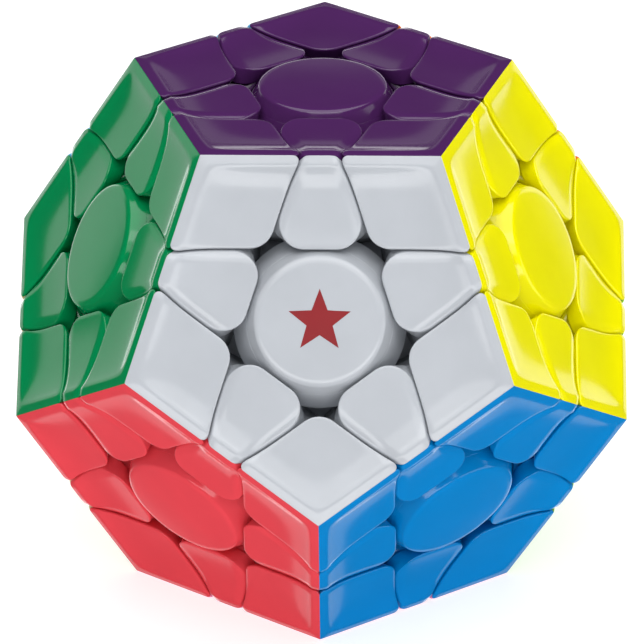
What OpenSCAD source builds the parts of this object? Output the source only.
// Twelve-sided twisty puzzle: a dodecahedron of one colour per face, cut into
// twenty corners, thirty edges and twelve centres that turn about a sprung core.

/* [Body] */
// Length of one edge of the dodecahedron
edge_len = 34; // [32:0.5:36]
// Thickness of a turning layer, as a share of the distance from the middle to a face
layer_share = 0.33; // [0.32:0.005:0.34]
// Gap between neighbouring pieces
gap = 0.3; // [0.2:0.05:0.4]
// Radius of a corner tile's inner corner
corner_round = 3.7; // [2:0.1:4.5]
// Radius of an edge tile's two inner corners
edge_round = 2.7; // [1.5:0.1:3.2]

/* [Mechanism] */
// Half angle of the cone round the necks of a layer's pieces
neck_angle = 42; // [41:0.5:43]
// Half angle of the cone round the feet of a layer's pieces
foot_angle = 50; // [49:0.5:51]
// Outer radius of the feet, as a share of the distance from the middle to a face
foot_top_share = 0.755; // [0.74:0.005:0.76]
// Inner radius of the feet, as a share of the distance from the middle to a face
foot_base_share = 0.59; // [0.58:0.005:0.6]

/* [Centres and core] */
// Thickness of a centre's cap
cap_thick = 2.2; // [1.8:0.1:2.6]
// Radius of a core arm
arm_r = 3.4; // [3.2:0.1:3.5]
// Radius of the core's ball
ball_r = 11; // [10:0.5:13]
// Radius of a screw's shank
shank_r = 1.25; // [1.1:0.05:1.4]
// Radius of the wire of a tension spring
wire_r = 0.29; // [0.28:0.01:0.32]

/* [Hidden] */
$fn = 64;

golden = (1 + sqrt(5)) / 2;
inradius = edge_len * golden * golden / (2 * sqrt(3 - golden));
face_step = acos(1 / sqrt(5));       // angle between neighbouring faces
cut = inradius * (1 - layer_share);  // distance of every cut plane from the middle
half_gap = gap / 2;
foot_top = inradius * foot_top_share;
foot_base = inradius * foot_base_share;
reach = 2 * inradius;                // longer than any piece
run_fit = 0.1;                       // radial clearance of a running fit
seat_gap = 0.05;                     // clearance where two pieces of a hub sit together
skin = 0.02;                         // how far a cutting tool overshoots
round_start = 0.63 * cut;            // where a wall's rounding starts, clear of the necks
tool_back = 0.3;                     // a rounding tool's reach behind a wall corner, as a share of its radius
same = 0.01;                         // dot products closer than this are equal

// Centres and core: heights along a face's own axis
cap_seat = inradius - cap_thick;
skirt_r = 7;
skirt_wall = 1.2;
skirt_deep = 1.4;
arm_above = 2.4;
arm_below = 2.4;
arm_top = foot_base + arm_above;
arm_shoulder = foot_base - arm_below;
arm_end_gap = 0.4;
arm_swell = 1;                       // how much thicker an arm's shoulder is
ledge_thick = 2;
ledge = arm_top + arm_end_gap;
ledge_top = ledge + ledge_thick;
column_rise = 1;                     // how far a hub's foot cone runs up inside its neck
pocket_r = 4;
head_r = 3;
head_thick = 1.6;
washer_thick = 0.4;
spring_base = ledge_top + seat_gap;
spring_long = 3.6;
spring_turns = 7;
spring_r = 2.6;
head_base = spring_base + spring_long + washer_thick + 2 * seat_gap;
screw_len = 13;
screw_tip = head_base - screw_len;
slot_wide = 0.8;
slot_long = 1.2 * head_r;
slot_deep = head_thick / 2;
hole_extra = 1;                      // depth of a screw's hole beyond its tip
cap_rim = 0.6;

// Faces: colour name, turn about Z, tilt from +Z
FACES = [
    ["purple", 0, 0],
    ["white", -90, face_step], ["yellow", -18, face_step], ["orange", 54, face_step],
    ["light_blue", 126, face_step], ["green", 198, face_step],
    ["blue", -54, 180 - face_step], ["light_green", 18, 180 - face_step],
    ["grey", 90, 180 - face_step], ["cream", 162, 180 - face_step], ["red", 234, 180 - face_step],
    ["pink", 0, 180]
];
PAINT = [
    "#4e2662", "#d8dce0", "#f2ee10", "#f47a12", "#6fc4ee", "#00743c",
    "#0080cc", "#8fd32c", "#8c9094", "#f3e3b0", "#e6283c", "#f39ac0"
];
TURNING = [0, 6, 9];                 // faces whose whole layer turns: purple, blue and cream

// Corners and edges follow from the faces that meet: neighbours' normals share this dot product
function normal(f) = let (turn = FACES[f][1], tilt = FACES[f][2])
    [sin(tilt) * cos(turn), sin(tilt) * sin(turn), cos(tilt)];
function neighbours(a, b) = abs(normal(a) * normal(b) - cos(face_step)) < same;
EDGES = [for (a = [0:10]) for (b = [a + 1:11]) if (neighbours(a, b)) [a, b]];
CORNERS = [for (e = EDGES) for (c = [e[1] + 1:1:11]) if (neighbours(e[0], c) && neighbours(e[1], c))
    [e[0], e[1], c]];
function ends(e) = [for (f = [0:11]) if (neighbours(e[0], f) && neighbours(e[1], f)) f];
function turns(piece) = len([for (f = piece) for (t = TURNING) if (f == t) f]) > 0;
TURNING_CORNERS = [for (c = CORNERS) if (turns(c)) c];
TURNING_EDGES = [for (e = EDGES) if (turns(e)) e];
function colour(f) = FACES[f][0];
function corner_name(c) = str("corner_", colour(c[0]), "_", colour(c[1]), "_", colour(c[2]));
function edge_name(e) = str("edge_", colour(e[0]), "_", colour(e[1]));
function cap_name(f) = str("cap_", colour(f));
function hub_name(f) = str("hub_", colour(f));

// Stands its children on a face: their +Z becomes the face's outward normal
module on_face(f) {
    rotate([0, FACES[f][2], FACES[f][1]]) children();
}

// What a layer holds above its feet, shrunk by s: the slab behind the face and the cone of necks
module upper_layer(f, s, top, wide) {
    cone_x = sin(neck_angle);
    cone_z = cos(neck_angle);
    floor_z = cut + s;
    tip_z = s / cone_x;
    floor_x = (floor_z - tip_z) * cone_x / cone_z;
    on_face(f) rotate_extrude()
        polygon([[0, tip_z], [floor_x, floor_z], [wide, floor_z], [wide, top], [0, top]]);
}

// The cone of a layer's feet, shrunk by s
module foot_cone(f, s) {
    tip_z = s / sin(foot_angle);
    on_face(f) translate([0, 0, tip_z]) cylinder(h = reach, r1 = 0, r2 = reach * tan(foot_angle));
}

// Where the necks and slabs of the listed faces' layers overlap
module shared_upper(faces) {
    intersection_for (f = faces) upper_layer(f, half_gap, inradius, reach);
}

// Where the feet of the listed faces' layers overlap
module shared_feet(faces) {
    intersection() {
        intersection_for (f = faces) foot_cone(f, half_gap);
        sphere(foot_top - half_gap);
    }
}

// Tool that rounds the wall corner between two walls, near the face it runs out to.
// A wall is [inward normal, distance of its plane from the middle].
module wall_round(wall_a, wall_b, toward, r) {
    na = wall_a[0];
    nb = wall_b[0];
    k = na * nb;
    tilt = acos(k) / 2;
    start = (na * (wall_a[1] - k * wall_b[1]) + nb * (wall_b[1] - k * wall_a[1])) / (1 - k * k);
    inward = (na + nb) / norm(na + nb);
    line = cross(na, nb) / norm(cross(na, nb));
    along = line * normal(toward) > 0 ? line : -line;
    side = cross(along, inward);
    touch_x = r * sin(tilt) * tan(tilt);
    touch_y = r * sin(tilt);
    back = -tool_back * r;
    place = [
        [inward[0], side[0], along[0], start[0]],
        [inward[1], side[1], along[1], start[1]],
        [inward[2], side[2], along[2], start[2]],
        [0, 0, 0, 1]
    ];
    multmatrix(place) translate([0, 0, round_start]) linear_extrude(reach) difference() {
        polygon([[touch_x, -touch_y], [touch_x, touch_y], [back, touch_y], [back, -touch_y]]);
        translate([r / cos(tilt), 0]) circle(r + skin);
    }
}

// The corner of faces 0, 1 and 2: what their layers share, with three inner wall corners rounded
module first_corner() {
    c = [0, 1, 2];
    difference() {
        union() {
            shared_upper(c);
            shared_feet(c);
        }
        sphere(foot_base);
        for (i = [0:2]) wall_round([normal(c[i]), cut + half_gap], [normal(c[(i + 1) % 3]), cut + half_gap],
            c[(i + 2) % 3], corner_round);
    }
}

// The edge of faces 0 and 1: what their layers share, outside the layers at its two ends
module first_edge() {
    e = [0, 1];
    difference() {
        union() {
            difference() {
                shared_upper(e);
                for (f = ends(e)) upper_layer(f, -half_gap, 1.5 * reach, 2 * reach);
                sphere(foot_top + half_gap);
            }
            difference() {
                union() {
                    intersection() {
                        shared_upper(e);
                        sphere(foot_top + half_gap + skin);
                    }
                    shared_feet(e);
                }
                for (f = ends(e)) foot_cone(f, -half_gap);
            }
        }
        sphere(foot_base);
        for (f = ends(e)) for (i = [0:1])
            wall_round([normal(e[i]), cut + half_gap], [-normal(f), half_gap - cut], e[1 - i], edge_round);
    }
}

// Axes of a pair of neighbouring faces: between them, across the edge, and along it
function pair_axes(a, b) =
    let (u = (normal(a) + normal(b)) / norm(normal(a) + normal(b)))
    let (w = cross(normal(a), normal(b)) / norm(cross(normal(a), normal(b))))
    [u, cross(w, u), w];

// Turns the whole body so that faces 0 and 1 come to faces a and b
module turn_pair(a, b) {
    from = pair_axes(0, 1);
    to = pair_axes(a, b);
    spin = [for (i = [0:2]) [for (j = [0:2])
        to[0][i] * from[0][j] + to[1][i] * from[1][j] + to[2][i] * from[2][j]]];
    multmatrix(spin) children();
}

// Whether faces a, b and c run the same way round as faces 0, 1 and 2
function winding(a, b, c) = cross(normal(a), normal(b)) * normal(c);
function handed(a, b, c) = winding(a, b, c) * winding(0, 1, 2) > 0;

module corner_piece(c) {
    pair = handed(c[0], c[1], c[2]) ? [c[0], c[1]] : [c[1], c[0]];
    color(PAINT[c[0]]) turn_pair(pair[0], pair[1]) first_corner();
}

module edge_piece(e) {
    color(PAINT[e[0]]) turn_pair(e[0], e[1]) first_edge();
}

// Cubies that stay with the core: they belong to no layer that is modelled as turning
module fixed_corners() {
    for (c = CORNERS) if (!turns(c)) corner_piece(c);
}

module fixed_edges() {
    for (e = EDGES) if (!turns(e)) edge_piece(e);
}

// Half width of a centre at height z, where the slabs of the five layers round it pass
function slab_x(z) = (cut - half_gap - z * cos(face_step)) / sin(face_step);
// The same, where a cone of half angle a passes
function cone_x(z, a) = z * tan(face_step - a) - half_gap / cos(face_step - a);

// Centre: a hub that runs on a core arm. Its shelf holds down the feet of five edges.
module hub(f) {
    lean = face_step - neck_angle;
    waist_z = (cut - half_gap + sin(face_step) * half_gap / cos(lean))
        / (cos(face_step) + sin(face_step) * tan(lean));
    column_z = foot_top + column_rise;
    color(PAINT[f]) on_face(f) difference() {
        rotate_extrude() union() {
            difference() {
                polygon([[0, foot_base], [cone_x(foot_base, neck_angle), foot_base],
                    [cone_x(waist_z, neck_angle), waist_z], [slab_x(cap_seat), cap_seat], [0, cap_seat]]);
                circle(foot_top + half_gap);
            }
            polygon([[0, foot_base], [cone_x(foot_base, foot_angle), foot_base],
                [cone_x(column_z, foot_angle), column_z], [0, column_z]]);
        }
        cylinder(h = ledge, r = arm_r + run_fit);
        cylinder(h = inradius, r = shank_r + 2 * run_fit);
        translate([0, 0, ledge_top]) cylinder(h = inradius, r = pocket_r);
        translate([0, 0, cap_seat - skirt_deep - seat_gap]) difference() {
            cylinder(h = inradius, r = skirt_r + seat_gap);
            cylinder(h = inradius, r = skirt_r - skirt_wall - seat_gap);
        }
    }
}

// Cap: closes a hub, and is the round tile in the middle of a face
module cap(f) {
    rim_z = inradius - cap_rim;
    color(PAINT[f]) on_face(f) rotate_extrude() {
        polygon([[0, cap_seat], [slab_x(cap_seat), cap_seat], [slab_x(rim_z), rim_z],
            [slab_x(inradius) - cap_rim, inradius], [0, inradius]]);
        translate([skirt_r - skirt_wall, cap_seat - skirt_deep]) square([skirt_wall, skirt_deep + skin]);
    }
}

// Core: a ball with twelve arms, each with a hole for its tension screw
module core() {
    color("#e8e8e4") difference() {
        union() {
            sphere(ball_r);
            for (f = [0:11]) on_face(f) {
                cylinder(h = arm_top, r = arm_r);
                cylinder(h = arm_shoulder, r1 = ball_r / 2, r2 = arm_r + arm_swell);
            }
        }
        for (f = [0:11]) on_face(f) translate([0, 0, screw_tip - hole_extra])
            cylinder(h = inradius, r = shank_r + seat_gap);
    }
}

module tension_screws() {
    color("#9a9ca0") for (f = [0:11]) on_face(f) difference() {
        union() {
            translate([0, 0, screw_tip]) cylinder(h = screw_len, r = shank_r);
            translate([0, 0, head_base]) cylinder(h = head_thick, r = head_r);
        }
        for (turn = [0, 90]) rotate(turn)
            translate([-slot_long / 2, -slot_wide / 2, head_base + head_thick - slot_deep])
                cube([slot_long, slot_wide, head_thick]);
    }
}

// Springs: closed coils between each hub's ledge and its screw's washer
module tension_springs() {
    coil_step = (spring_long - 2 * wire_r) / (spring_turns - 1);
    color("#b4b6b8") for (f = [0:11]) on_face(f) rotate_extrude() for (i = [0:spring_turns - 1])
        translate([spring_r, spring_base + wire_r + i * coil_step]) circle(wire_r);
}

module spring_washers() {
    color("#b8b090") for (f = [0:11]) on_face(f) translate([0, 0, spring_base + spring_long + seat_gap])
        difference() {
            cylinder(h = washer_thick, r = head_r);
            translate([0, 0, -skin]) cylinder(h = washer_thick + 2 * skin, r = shank_r + run_fit);
        }
}

// The puzzle rests on its pink face, so the middle stands one inradius up
translate([0, 0, inradius]) {
    for (c = TURNING_CORNERS) corner_piece(c);
    for (e = TURNING_EDGES) edge_piece(e);
    for (f = [0:11]) cap(f);
    for (f = [0:11]) hub(f);
    fixed_corners();
    fixed_edges();
    core();
    tension_screws();
    tension_springs();
    spring_washers();
}
